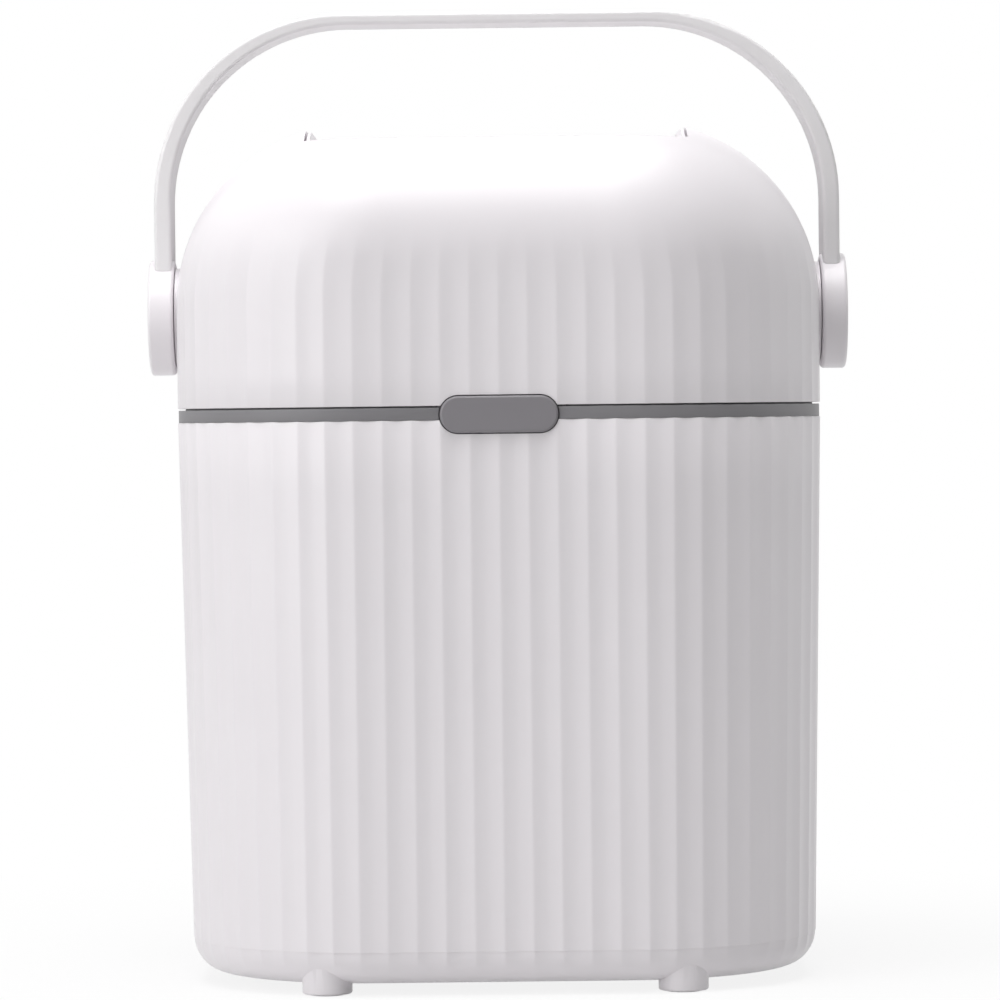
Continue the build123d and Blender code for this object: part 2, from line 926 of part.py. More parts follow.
def sector(inner_radius, outer_radius, middle, span, low, high):
    """Part of a ring round the Z axis."""
    start = middle - span / 2
    with BuildPart() as block:
        with BuildSketch(Plane.XY.offset(low)):
            with BuildLine():
                outer = CenterArc((0, 0), outer_radius, start, span)
                inner = CenterArc((0, 0), inner_radius, start, span)
                Line(outer @ 0, inner @ 0)
                Line(outer @ 1, inner @ 1)
            make_face()
        extrude(amount=high - low)
    return block.part


cup_radius = cup_diameter / 2
cup_top = liner_z + cup_height
cup_ledge_low = liner_z + cup_ledge_rise
cup_ledge_high = cup_ledge_low + ledge_height
rib_inset = seal_inset - seal_clearance - seal_rib
inner_rib_inset = seal_inset + seal_width + seal_clearance
with BuildPart() as lid_liner:
    add(prism(lid_wall + liner_clearance, liner_z, liner_top))
    add(ring(rib_inset, rib_inset + seal_rib, liner_z - seal_rib_drop, liner_z))
    add(ring(inner_rib_inset, inner_rib_inset + seal_rib, liner_z - seal_rib_drop, liner_z))
    add(
        box(
            -latch_window_width / 2,
            latch_window_width / 2,
            front_y - over,
            front_y + latch_window_inset,
            liner_z - over,
            liner_top + over,
        ),
        mode=Mode.SUBTRACT,
    )
    add(rod_z(cup_diameter + 2 * cup_wall, 0, 0, liner_z, cup_top + cup_wall))
    add(rod_z(cup_diameter, 0, 0, liner_z - over, cup_top), mode=Mode.SUBTRACT)
    for i in range(lug_count):
        middle = 360.0 * i / lug_count
        add(
            sector(
                cup_radius - ledge_reach,
                cup_radius + cup_wall / 2,
                middle,
                ledge_angle,
                cup_ledge_low,
                cup_ledge_high,
            )
        )
    for x, y in liner_bosses:
        hole = screw_diameter + 2 * liner_hole_clearance
        add(rod_z(hole, x, y, liner_z - over, liner_top + over), mode=Mode.SUBTRACT)
finish(lid_liner.part, "lid_liner")

with BuildPart() as liner_screws:
    for x, y in liner_bosses:
        add(screw_up(x, y, liner_z))
finish(liner_screws.part, "liner_screws")

with BuildPart() as lid_seal:
    add(ring(seal_inset, seal_inset + seal_width, ring_top + seal_gap, liner_z))
finish(lid_seal.part, "lid_seal")

# Charcoal cap: vented disc with a spigot, three lugs and a finger grip, and the pack that lies in it
cap_top = liner_z - cap_gap
cap_low = cap_top - cap_thickness
spigot_radius = spigot_diameter / 2
spigot_bore = spigot_diameter - 2 * spigot_wall
lug_low = cup_ledge_high + lug_gap
with BuildPart() as charcoal_cap:
    add(rod_z(cap_diameter, 0, 0, cap_low, cap_top))
    fillet(charcoal_cap.faces().sort_by(Axis.Z)[0].edges(), radius=cap_edge)
    add(rod_z(spigot_diameter, 0, 0, cap_top, cap_top + spigot_height))
    add(rod_z(spigot_bore, 0, 0, cap_top, cap_top + spigot_height + over), mode=Mode.SUBTRACT)
    for i in range(lug_count):
        middle = 360.0 * i / lug_count
        add(
            sector(
                spigot_radius - spigot_wall / 2,
                spigot_radius + lug_reach,
                middle,
                lug_angle,
                lug_low,
                lug_low + lug_height,
            )
        )
    with BuildSketch(Plane.XY.offset(cap_low)):
        with PolarLocations(vent_radius, vent_count, start_angle=180.0 / vent_count):
            SlotOverall(vent_length, vent_width)
    extrude(amount=cap_thickness, mode=Mode.SUBTRACT)
    with BuildSketch(Plane.XY.offset(cap_low)):
        SlotOverall(grip_length, grip_width)
    extrude(amount=-grip_height)
finish(charcoal_cap.part, "charcoal_cap")

with BuildPart() as charcoal_pack:
    add(rod_z(spigot_bore - 2 * pack_clearance, 0, 0, cap_top, cap_top + pack_height))
    fillet(charcoal_pack.faces().sort_by(Axis.Z)[-1].edges(), radius=pack_edge)
finish(charcoal_pack.part, "charcoal_pack")

# Handle: hubs that turn on axles in the lid, and a bent strap whose tongues sit in the hubs
hub_in = neck_x + hub_gap
hub_out = hub_in + hub_thickness
pocket_x = hub_in + hub_web
axle_end = pocket_x + washer_gap
washer_out = axle_end + washer_thickness
hub_radius = hub_diameter / 2
strap_out = hub_out - strap_outer_inset
strap_in = strap_out - strap_arm_thickness
strap_middle = (strap_out + strap_in) / 2
tongue_low = pivot_height + hub_radius - tongue_depth
tongue_x = tongue_thickness / 2
screw_z = pivot_height + hub_radius - strap_screw_depth
screw_head_in = hub_in + strap_screw_clearance
screw_head_out = screw_head_in + strap_screw_head_height
screw_spots = [-strap_screw_spacing / 2, strap_screw_spacing / 2]
strap_screw_bore = strap_screw_diameter + 2 * strap_screw_clearance
strap_head_bore = strap_screw_head_diameter + 2 * strap_screw_clearance
hub_screw_bore = hub_screw_diameter + 2 * boss_bore_clearance
slot_half = tongue_width / 2 + tongue_clearance
for side, place in ((-1, "left"), (1, "right")):
    outermost = -1 if side > 0 else 0
    innermost = 0 if side > 0 else -1
    with BuildPart() as hub:
        add(side_rod(side, hub_diameter, hub_in, hub_out, 0, pivot_height))
        fillet(hub.edges().filter_by(GeomType.CIRCLE).sort_by(Axis.X)[outermost], radius=hub_outer_edge)
        fillet(hub.edges().filter_by(GeomType.CIRCLE).sort_by(Axis.X)[innermost], radius=hub_inner_edge)
        add(side_rod(side, pocket_diameter, pocket_x, hub_out + over, 0, pivot_height), mode=Mode.SUBTRACT)
        add(side_rod(side, axle_bore, hub_in - over, pocket_x + over, 0, pivot_height), mode=Mode.SUBTRACT)
        add(
            side_box(
                side,
                strap_middle - tongue_x - tongue_clearance,
                strap_middle + tongue_x + tongue_clearance,
                -slot_half,
                slot_half,
                tongue_low - tongue_clearance,
                pivot_height + hub_radius + over,
            ),
            mode=Mode.SUBTRACT,
        )
        for y in screw_spots:
            head_end = screw_head_out + strap_screw_clearance
            add(side_rod(side, strap_head_bore, hub_in - over, head_end, y, screw_z), mode=Mode.SUBTRACT)
            add(side_rod(side, strap_screw_bore, screw_head_in, strap_middle, y, screw_z), mode=Mode.SUBTRACT)
    finish(hub.part, "hub_" + place)

    with BuildPart() as hub_cap:
        cap_face_x = hub_out - hub_cap_sink
        cap_cover = pocket_diameter - 2 * hub_cap_clearance
        add(side_rod(side, cap_cover, cap_face_x - hub_cap_thickness, cap_face_x, 0, pivot_height))
        fillet(hub_cap.edges().filter_by(GeomType.CIRCLE).sort_by(Axis.X)[outermost], radius=hub_cap_edge)
    finish(hub_cap.part, "hub_cap_" + place)

    with BuildPart() as axle:
        bore_end = washer_out - hub_screw_length - boss_clearance
        add(side_rod(side, axle_head_diameter, boss_face_x - axle_head_height, boss_face_x, 0, pivot_height))
        add(side_rod(side, axle_diameter, boss_face_x, axle_end, 0, pivot_height))
        add(side_rod(side, hub_screw_bore, bore_end, axle_end + over, 0, pivot_height), mode=Mode.SUBTRACT)
    finish(axle.part, "axle_" + place)

    with BuildPart() as washer:
        add(side_rod(side, washer_diameter, axle_end, washer_out, 0, pivot_height))
        add(
            side_rod(side, hub_screw_bore, axle_end - over, washer_out + over, 0, pivot_height),
            mode=Mode.SUBTRACT,
        )
    finish(washer.part, "axle_washer_" + place)

with BuildPart() as axle_screws:
    for side in (-1, 1):
        head_end = washer_out + hub_screw_head_height
        add(side_rod(side, hub_screw_diameter, washer_out - hub_screw_length, washer_out, 0, pivot_height))
        add(side_rod(side, hub_screw_head_diameter, washer_out, head_end, 0, pivot_height))
finish(axle_screws.part, "axle_screws")

# Strap: one bent bar with a tongue at each end
strap_top = pivot_height + strap_rise
strap_bend_z = strap_top - strap_outer_radius
outer_bend_x = strap_out - strap_outer_radius
strap_inner_radius = strap_outer_radius - strap_bar_thickness
inner_bend_x = strap_in - strap_inner_radius
bar_under_z = strap_top - strap_bar_thickness
bend_share = sqrt(0.5)


def strap_bend(side, face_x, bend_x, radius):
    """Side face of an arm and the bend above it, for the line builder that is open."""
    Line((side * face_x, tongue_low), (side * face_x, strap_bend_z))
    ThreePointArc(
        (side * face_x, strap_bend_z),
        (side * (bend_x + radius * bend_share), strap_bend_z + radius * bend_share),
        (side * bend_x, strap_bend_z + radius),
    )


with BuildPart() as handle_strap:
    with BuildSketch(Plane.XZ):
        with BuildLine():
            for side in (-1, 1):
                Line((side * strap_in, tongue_low), (side * strap_out, tongue_low))
                strap_bend(side, strap_out, outer_bend_x, strap_outer_radius)
                strap_bend(side, strap_in, inner_bend_x, strap_inner_radius)
            Line((-outer_bend_x, strap_top), (outer_bend_x, strap_top))
            Line((-inner_bend_x, bar_under_z), (inner_bend_x, bar_under_z))
        make_face()
    extrude(amount=strap_width / 2, both=True)
    long_faces = handle_strap.faces().sort_by(Axis.Y)
    fillet(long_faces[0].edges() + long_faces[-1].edges(), radius=strap_edge)
    seat_diameter = hub_diameter + 2 * strap_seat
    add(rod_x(seat_diameter, -hub_out - over, hub_out + over, 0, pivot_height), mode=Mode.SUBTRACT)
    for side in (-1, 1):
        add(
            side_box(
                side,
                strap_middle - tongue_x,
                strap_middle + tongue_x,
                -tongue_width / 2,
                tongue_width / 2,
                tongue_low,
                pivot_height + seat_diameter / 2 + strap_edge,
            )
        )
        for y in screw_spots:
            bore_end = screw_head_out + strap_screw_length + strap_screw_clearance
            add(side_rod(side, strap_screw_bore, strap_in - over, bore_end, y, screw_z), mode=Mode.SUBTRACT)
finish(handle_strap.part, "handle_strap")

with BuildPart() as strap_screws:
    for side in (-1, 1):
        for y in screw_spots:
            screw_end = screw_head_out + strap_screw_length
            add(side_rod(side, strap_screw_head_diameter, screw_head_in, screw_head_out, y, screw_z))
            add(side_rod(side, strap_screw_diameter, screw_head_out, screw_end, y, screw_z))
finish(strap_screws.part, "strap_screws")
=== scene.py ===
import json
from math import atan, cos, pi, radians, sin, sqrt

import bmesh
import bpy
from mathutils import Euler, Matrix, Vector


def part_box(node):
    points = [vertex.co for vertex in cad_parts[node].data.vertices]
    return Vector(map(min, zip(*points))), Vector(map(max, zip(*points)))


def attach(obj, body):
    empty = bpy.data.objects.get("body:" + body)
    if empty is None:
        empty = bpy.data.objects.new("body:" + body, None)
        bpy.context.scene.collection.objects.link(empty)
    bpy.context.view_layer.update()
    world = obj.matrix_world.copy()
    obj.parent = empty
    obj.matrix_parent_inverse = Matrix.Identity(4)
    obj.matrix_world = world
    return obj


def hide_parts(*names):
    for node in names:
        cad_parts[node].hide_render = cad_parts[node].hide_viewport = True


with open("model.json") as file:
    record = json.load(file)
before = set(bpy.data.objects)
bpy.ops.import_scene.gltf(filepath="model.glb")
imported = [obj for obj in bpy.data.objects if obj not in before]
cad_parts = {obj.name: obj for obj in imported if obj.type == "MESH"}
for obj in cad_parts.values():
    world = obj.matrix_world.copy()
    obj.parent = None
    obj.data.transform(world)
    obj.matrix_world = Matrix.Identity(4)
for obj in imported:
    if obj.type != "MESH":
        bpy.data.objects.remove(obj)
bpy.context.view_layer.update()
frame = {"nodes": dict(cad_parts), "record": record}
nodes = frame["nodes"]

# Looks of the diaper pail: a fluted tub and a fluted domed lid that are modelled here, and the other pieces
# of the frame with their finishes. Metres. The front faces -Y and the floor is at z = 0.

# Outer plan, through the crests of the flutes
tub_low, tub_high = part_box("tub_shell")
HALF_WIDTH = tub_high.x
HALF_DEPTH = -tub_low.y
CORNER_RADIUS = 0.073
FLUTES = 72
COLUMNS_PER_FLUTE = 16
COLUMN_CROWDING = 0.45
CREST_ROUND_SHARE = 0.045
TUB_FLUTE_DEPTH = 0.00055
LID_FLUTE_DEPTH = 0.0004

# Tub
RIM_Z = tub_high.z
TUB_BOTTOM = 0.004
TUB_TAPER = 0.0038
TUB_WALL = 0.0026
TUB_FLOOR = 0.003
TUB_BOTTOM_ROUND = 0.012
TUB_FLUTE_END = 0.0065
TUB_FLUTE_FULL = 0.0165
FOOT_RADIUS = 0.009
FOOT_LOW = 0.0004
FOOT_TOP = 0.010
FOOT_EDGE = 0.0008
FOOT_RECESS_RADIUS = 0.00665
FOOT_RECESS_DEPTH = 0.0016

# Lid
BAND_TOP = 0.2103
LID_GAP = 0.0006
LID_BASE = BAND_TOP + LID_GAP
SPRING_Z = LID_BASE + 0.0373
SIDE_ROUND = 0.067
FRONT_ROUND = 0.052
CORNER_DRAW_SHARE = 0.42
CROWN_Z = SPRING_Z + SIDE_ROUND
LID_WALL = 0.0026
LID_FLUTE_FADE_LOW = 0.247
LID_FLUTE_FADE_HIGH = 0.279
CHANNEL_HALF_WIDTH = 0.0696
CHANNEL_Z = CROWN_Z - 0.0076
TRAY_POCKET_Z = CHANNEL_Z - 0.0023
TRAY_HALF_DEPTH = 0.060
CEILING_Z = TRAY_POCKET_Z - LID_WALL
EDGE_ROUND = 0.00035

# Necks of the lid, on which the hubs turn
PIVOT_Z = 0.2451
NECK_RADIUS = 0.0185
NECK_SINK = 0.0015
NECK_X = HALF_WIDTH + 0.0017

# Button opening through tub, band and lid
BUTTON_Z = 0.20775
OPENING_HALF_WIDTH = 0.0215
OPENING_HALF_HEIGHT = 0.0070
OPENING_DEPTH = 0.0075

# Catch inside the lid's front, over which the hook reaches
CATCH_Z = 0.21725
CATCH_HALF_WIDTH = 0.006
CATCH_REACH = 0.0034
CATCH_THICKNESS = 0.002

# Hinge
HINGE_Y = HALF_DEPTH + 0.0022
HINGE_Z = LID_BASE - 0.0004
HINGE_X = 0.040
KNUCKLE_RADIUS = 0.0035
KNUCKLE_WIDTH = 0.007
KNUCKLE_GAP = 0.00035
KNUCKLE_RELIEF = 0.0005
HINGE_BORE_RADIUS = 0.00165

# Shares of a turn, and one overrun for all cuts
QUARTER = radians(90)
OVER = 0.005

# Rounded edges of pieces that are taken from the frame
BAND_EDGE = 0.0003
TRAY_EDGE = 0.0003
EASE_MERGE = 0.000002
EASE_FLAT = radians(0.5)
EASE_SHARP = radians(40)
SMOOTH_BELOW = radians(35)


def smooth_step(value, low, high):
    """0 below low, 1 above high, and a soft rise between them."""
    share = min(max((value - low) / (high - low), 0), 1)
    return share * share * (3 - 2 * share)


def select_only(piece):
    """Makes a piece the one that the next operators act on."""
    bpy.ops.object.select_all(action="DESELECT")
    piece.select_set(True)
    bpy.context.view_layer.objects.active = piece


def combine(piece, tool, operation):
    """Joins a tool shape to a piece or cuts it away, then removes the tool."""
    step = piece.modifiers.new("combine", "BOOLEAN")
    step.operation = operation
    step.solver = "EXACT"
    step.object = tool
    select_only(piece)
    bpy.ops.object.modifier_apply(modifier=step.name)
    bpy.data.objects.remove(tool)


def settle(piece):
    """Puts a piece's place into its mesh and leaves its object at the origin."""
    select_only(piece)
    bpy.ops.object.transform_apply(location=True, rotation=True, scale=True)


def block(low, high):
    """Plain block between two corners, used as a tool."""
    bpy.ops.object.select_all(action="DESELECT")
    bpy.ops.mesh.primitive_cube_add(size=1, location=(Vector(low) + Vector(high)) / 2)
    tool = bpy.context.object
    tool.scale = Vector(high) - Vector(low)
    settle(tool)
    return tool


def rod(radius, start, end, corners=64):
    """Round bar between two points, used as a tool."""
    start, end = Vector(start), Vector(end)
    bpy.ops.object.select_all(action="DESELECT")
    bpy.ops.mesh.primitive_cylinder_add(
        vertices=corners,
        radius=radius,
        depth=(end - start).length,
        location=(start + end) / 2,
        rotation=(end - start).to_track_quat("Z", "Y").to_euler(),
    )
    tool = bpy.context.object
    settle(tool)
    return tool


def pill(half_width, half_height, y_low, y_high, z):
    """Bar along Y with fully round ends, used as a tool."""
    flat = half_width - half_height
    tool = block((-flat, y_low, z - half_height), (flat, y_high, z + half_height))
    for side in (-1, 1):
        combine(tool, rod(half_height, (side * flat, y_low, z), (side * flat, y_high, z), 48), "UNION")
    return tool


# Fluted shells: an edge ring with one corner for each column of the plan is extruded row by row


def column_travels():
    """How far round the plan each column stands, in flutes. Columns crowd together at the crests."""
    travels = []
    for flute in range(FLUTES):
        for step in range(COLUMNS_PER_FLUTE):
            even = step / COLUMNS_PER_FLUTE
            crowded = (1 - cos(pi * even)) / 2
            travels.append(flute + (1 - COLUMN_CROWDING) * even + COLUMN_CROWDING * crowded)
    return travels


def column_frames():
    """For each column: signs of its quarter, stretch of the plan, share along it, share of flute depth."""
    flat_x = HALF_WIDTH - CORNER_RADIUS
    flat_y = HALF_DEPTH - CORNER_RADIUS
    arc = CORNER_RADIUS * QUARTER
    quarter = flat_x + arc + flat_y
    frames = []
    for travel in column_travels():
        distance = travel * 4 * quarter / FLUTES
        turn = int(distance // (2 * quarter))
        rest = distance - turn * 2 * quarter
        sign_x = -1 if turn else 1
        sign_y = sign_x
        if rest > quarter:
            rest = 2 * quarter - rest
            sign_y = -sign_y
        if rest < flat_x:
            stretch, share = "front", rest / flat_x
        elif rest < flat_x + arc:
            stretch, share = "corner", (rest - flat_x) / arc
        else:
            stretch, share = "side", (rest - flat_x - arc) / flat_y
        from_crest = min(travel % 1, 1 - travel % 1)
        eased = sqrt(from_crest**2 + CREST_ROUND_SHARE**2) - CREST_ROUND_SHARE
        frames.append((sign_x, sign_y, stretch, share, 4 * eased * (1 - eased)))
    return frames


COLUMN_FRAMES = column_frames()


def column_point(column, half_width, half_depth, radius, z, flute_depth):
    """Corner of a row: its place on a rounded rectangle, moved inwards by the hollow of its flute."""
    sign_x, sign_y, stretch, share, hollow = COLUMN_FRAMES[column]
    angle = {"front": 0, "corner": share * QUARTER, "side": QUARTER}[stretch]
    middle_x = (half_width - radius) * (share if stretch == "front" else 1)
    middle_y = (half_depth - radius) * (1 - share if stretch == "side" else 1)
    reach = radius - flute_depth * hollow
    return Vector(
        (
            sign_x * (middle_x + reach * sin(angle)),
            sign_y * -(middle_y + reach * cos(angle)),
            z,
        )
    )


def fluted_shell(name, rows):
    """Closed shell from rows of (half width, half depth, corner radius, height, flute depth)."""
    bpy.ops.object.select_all(action="DESELECT")
    bpy.ops.mesh.primitive_circle_add(vertices=len(COLUMN_FRAMES), radius=HALF_DEPTH)
    piece = bpy.context.object
    piece.name = name
    bpy.ops.object.mode_set(mode="EDIT")
    mesh = bmesh.from_edit_mesh(piece.data)
    columns = mesh.verts.layers.int.new("column")
    for number, corner in enumerate(mesh.verts):
        corner[columns] = number
    for number, row in enumerate(rows):
        if number:
            bpy.ops.mesh.extrude_edges_move()
            mesh = bmesh.from_edit_mesh(piece.data)
            columns = mesh.verts.layers.int["column"]
        for corner in mesh.verts:
            if corner.select:
                corner.co = column_point(corner[columns], *row)
    bpy.ops.mesh.edge_face_add()
    mesh = bmesh.from_edit_mesh(piece.data)
    first = rows[0][3]
    for edge in mesh.edges:
        edge.select_set(edge.is_boundary and all(abs(c.co.z - first) < EDGE_ROUND / 9 for c in edge.verts))
    bpy.ops.mesh.edge_face_add()
    bpy.ops.mesh.select_all(action="SELECT")
    bpy.ops.mesh.normals_make_consistent(inside=False)
    bpy.ops.object.mode_set(mode="OBJECT")
    piece.data.attributes.remove(piece.data.attributes["column"])
    return piece


def plan_row(inset, z, flute_depth=0.0):
    """Row with the outer plan, moved inwards."""
    return (HALF_WIDTH - inset, HALF_DEPTH - inset, CORNER_RADIUS - inset, z, flute_depth)


def tub_inset(z):
    """How far the tapered wall of the tub stands inside the outer plan."""
    return TUB_TAPER * (RIM_Z - z) / (RIM_Z - TUB_BOTTOM)


def bottom_round_rows(inset, low, radius, steps, flute_depth):
    """Rows of a rounded bottom edge from the wall down to the flat."""
    rows = []
    for step in range(steps + 1):
        angle = QUARTER * step / steps
        z = low + radius * (1 - sin(angle))
        depth = flute_depth * smooth_step(z, TUB_FLUTE_END, TUB_FLUTE_FULL)
        rows.append(plan_row(inset + radius * (1 - cos(angle)), z, depth))
    return rows


def make_tub():
    """Fluted tub with its rounded bottom, feet and the lower half of the button opening."""
    floor_z = TUB_BOTTOM + TUB_FLOOR
    inner_round = TUB_BOTTOM_ROUND - TUB_WALL
    inner = bottom_round_rows(TUB_TAPER + TUB_WALL, floor_z, inner_round, 6, 0.0)
    inner.reverse()
    outer = bottom_round_rows(TUB_TAPER, TUB_BOTTOM, TUB_BOTTOM_ROUND, 12, TUB_FLUTE_DEPTH)
    rows = [plan_row(0.05, floor_z), plan_row(0.03, floor_z)]
    rows += inner
    rows += [
        plan_row(TUB_WALL, RIM_Z),
        plan_row(EDGE_ROUND, RIM_Z, TUB_FLUTE_DEPTH),
        plan_row(EDGE_ROUND * 0.3, RIM_Z - EDGE_ROUND * 0.3, TUB_FLUTE_DEPTH),
        plan_row(0.0, RIM_Z - EDGE_ROUND, TUB_FLUTE_DEPTH),
    ]
    wall_steps = 8
    wall_low = TUB_FLUTE_FULL
    for step in range(1, wall_steps + 1):
        z = RIM_Z - EDGE_ROUND - (RIM_Z - EDGE_ROUND - wall_low) * step / wall_steps
        rows.append(plan_row(tub_inset(z), z, TUB_FLUTE_DEPTH))
    fade_steps = 5
    fade_end = TUB_BOTTOM + TUB_BOTTOM_ROUND
    for step in range(1, fade_steps):
        z = wall_low - (wall_low - fade_end) * step / fade_steps
        depth = TUB_FLUTE_DEPTH * smooth_step(z, TUB_FLUTE_END, TUB_FLUTE_FULL)
        rows.append(plan_row(tub_inset(z), z, depth))
    rows += outer
    rows += [plan_row(0.03, TUB_BOTTOM), plan_row(0.05, TUB_BOTTOM)]
    tub = fluted_shell("fluted_tub", rows)

    for x, y in foot_places():
        foot = rod(FOOT_RADIUS, (x, y, FOOT_LOW), (x, y, FOOT_TOP), 64)
        round_low_edge(foot, FOOT_LOW, FOOT_EDGE)
        combine(tub, foot, "UNION")
        recess = rod(FOOT_RECESS_RADIUS, (x, y, FOOT_LOW - OVER), (x, y, FOOT_LOW + FOOT_RECESS_DEPTH), 64)
        combine(tub, recess, "DIFFERENCE")
    combine(tub, button_opening(), "DIFFERENCE")
    return tub


def foot_places():
    """Middles of the feet, above the pads."""
    places = []
    for name in sorted(nodes):
        if name.startswith("foot_pad_"):
            low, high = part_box(name)
            places.append(((low.x + high.x) / 2, (low.y + high.y) / 2))
    return places


def round_low_edge(piece, z, radius):
    """Rounds the edge round the lowest face of a piece."""
    select_only(piece)
    bpy.ops.object.mode_set(mode="EDIT")
    mesh = bmesh.from_edit_mesh(piece.data)
    for edge in mesh.edges:
        edge.select_set(all(abs(corner.co.z - z) < radius / 9 for corner in edge.verts))
    bpy.ops.mesh.bevel(offset=radius, segments=5)
    bpy.ops.object.mode_set(mode="OBJECT")


def button_opening():
    """Cutting shape of the opening in which the button runs."""
    y_low = -HALF_DEPTH - OVER
    return pill(OPENING_HALF_WIDTH, OPENING_HALF_HEIGHT, y_low, y_low + OVER + OPENING_DEPTH, BUTTON_Z)


def dome_row(inset, z, angle, flute_depth):
    """Row of the dome at an angle up from its spring line."""
    side = SIDE_ROUND - inset
    front = FRONT_ROUND - inset
    lift = min(max((z - (CROWN_Z - FRONT_ROUND)) / front, 0), 1)
    side_in = side * (1 - cos(angle))
    front_in = front * (1 - sqrt(1 - lift * lift))
    radius = CORNER_RADIUS - inset - CORNER_DRAW_SHARE * (side_in + front_in)
    return (HALF_WIDTH - inset - side_in, HALF_DEPTH - inset - front_in, radius, z, flute_depth)


def lid_flute_depth(z):
    """Depth of the lid's flutes, which die out where the dome turns over."""
    return LID_FLUTE_DEPTH * (1 - smooth_step(z, LID_FLUTE_FADE_LOW, LID_FLUTE_FADE_HIGH))


def make_lid():
    """Fluted lid with its dome, channel, catch, necks, hinge barrels and its half of the opening."""
    inner_side = SIDE_ROUND - LID_WALL
    inner_steps = 10
    last_sine = (CEILING_Z - SPRING_Z) / inner_side
    inner = []
    for step in range(inner_steps + 1):
        sine = last_sine * sin(QUARTER * step / inner_steps)
        z = SPRING_Z + inner_side * sine
        angle = atan(sine / sqrt(1 - sine * sine))
        inner.append(dome_row(LID_WALL, z, angle, 0.0))
    inner.reverse()
    rows = inner + [
        plan_row(LID_WALL, LID_BASE),
        plan_row(EDGE_ROUND, LID_BASE, LID_FLUTE_DEPTH),
        plan_row(EDGE_ROUND * 0.3, LID_BASE + EDGE_ROUND * 0.3, LID_FLUTE_DEPTH),
        plan_row(0.0, LID_BASE + EDGE_ROUND, LID_FLUTE_DEPTH),
    ]
    wall_steps = 3
    for step in range(1, wall_steps):
        z = LID_BASE + (SPRING_Z - LID_BASE) * step / wall_steps
        rows.append(plan_row(0.0, z, LID_FLUTE_DEPTH))
    dome_steps = 44
    for step in range(dome_steps + 1):
        angle = QUARTER * step / dome_steps
        z = SPRING_Z + SIDE_ROUND * sin(angle)
        rows.append(dome_row(0.0, z, angle, lid_flute_depth(z)))
    lid = fluted_shell("fluted_lid", rows)

    reach = HALF_DEPTH + OVER
    channel = block((-CHANNEL_HALF_WIDTH, -reach, CHANNEL_Z), (CHANNEL_HALF_WIDTH, reach, CROWN_Z + OVER))
    combine(lid, channel, "DIFFERENCE")
    pocket = block(
        (-CHANNEL_HALF_WIDTH, -TRAY_HALF_DEPTH, TRAY_POCKET_Z),
        (CHANNEL_HALF_WIDTH, TRAY_HALF_DEPTH, CROWN_Z + OVER),
    )
    combine(lid, pocket, "DIFFERENCE")
    catch = block(
        (-CATCH_HALF_WIDTH, -HALF_DEPTH + LID_WALL / 2, CATCH_Z),
        (CATCH_HALF_WIDTH, -HALF_DEPTH + LID_WALL + CATCH_REACH, CATCH_Z + CATCH_THICKNESS),
    )
    combine(lid, catch, "UNION")
    combine(lid, button_opening(), "DIFFERENCE")
    for side in (-1, 1):
        root_x = side * (HALF_WIDTH - NECK_SINK)
        neck = rod(NECK_RADIUS, (root_x, 0, PIVOT_Z), (side * NECK_X, 0, PIVOT_Z), 96)
        combine(lid, neck, "UNION")
        add_barrel(lid, side * HINGE_X)
    return lid


def add_barrel(lid, x):
    """Hinge barrel of the lid with its web, between the two barrels of the band."""
    low, high = x - KNUCKLE_WIDTH / 2, x + KNUCKLE_WIDTH / 2
    for place in (low - KNUCKLE_GAP - KNUCKLE_WIDTH / 2, high + KNUCKLE_GAP + KNUCKLE_WIDTH / 2):
        half = KNUCKLE_WIDTH / 2 + KNUCKLE_GAP
        relief = rod(
            KNUCKLE_RADIUS + KNUCKLE_RELIEF,
            (place - half, HINGE_Y, HINGE_Z),
            (place + half, HINGE_Y, HINGE_Z),
            48,
        )
        combine(lid, relief, "DIFFERENCE")
    web = block((low, HALF_DEPTH - LID_WALL / 2, LID_BASE), (high, HINGE_Y, HINGE_Z + KNUCKLE_RADIUS))
    combine(lid, web, "UNION")
    combine(lid, rod(KNUCKLE_RADIUS, (low, HINGE_Y, HINGE_Z), (high, HINGE_Y, HINGE_Z), 48), "UNION")
    bore = rod(HINGE_BORE_RADIUS, (low - OVER, HINGE_Y, HINGE_Z), (high + OVER, HINGE_Y, HINGE_Z), 32)
    combine(lid, bore, "DIFFERENCE")


def smooth_faces(piece):
    """Smooth shading, except over sharp edges."""
    select_only(piece)
    bpy.ops.object.shade_smooth_by_angle(angle=SMOOTH_BELOW)


def eased(name, radius):
    """Copy of a frame piece with its sharp edges rounded, which stands in its place."""
    piece = bpy.data.objects.new("eased_" + name, nodes[name].data.copy())
    bpy.context.scene.collection.objects.link(piece)
    select_only(piece)
    bpy.ops.mesh.customdata_custom_splitnormals_clear()
    bpy.ops.object.mode_set(mode="EDIT")
    bpy.ops.mesh.select_all(action="SELECT")
    bpy.ops.mesh.remove_doubles(threshold=EASE_MERGE)
    bpy.ops.mesh.dissolve_limited(angle_limit=EASE_FLAT)
    bpy.ops.object.mode_set(mode="OBJECT")
    rounding = piece.modifiers.new("rounded_edges", "BEVEL")
    rounding.width = radius
    rounding.segments = 3
    rounding.limit_method = "ANGLE"
    rounding.angle_limit = EASE_SHARP
    bpy.ops.object.modifier_apply(modifier=rounding.name)
    return piece


def put_in_place(piece, body, replaced, slot):
    """Finishes a piece: shading, material, the body that carries it and the frame piece it stands for."""
    smooth_faces(piece)
    dress(piece, finishes[slot])
    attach(piece, body)
    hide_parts(replaced)


# Finishes


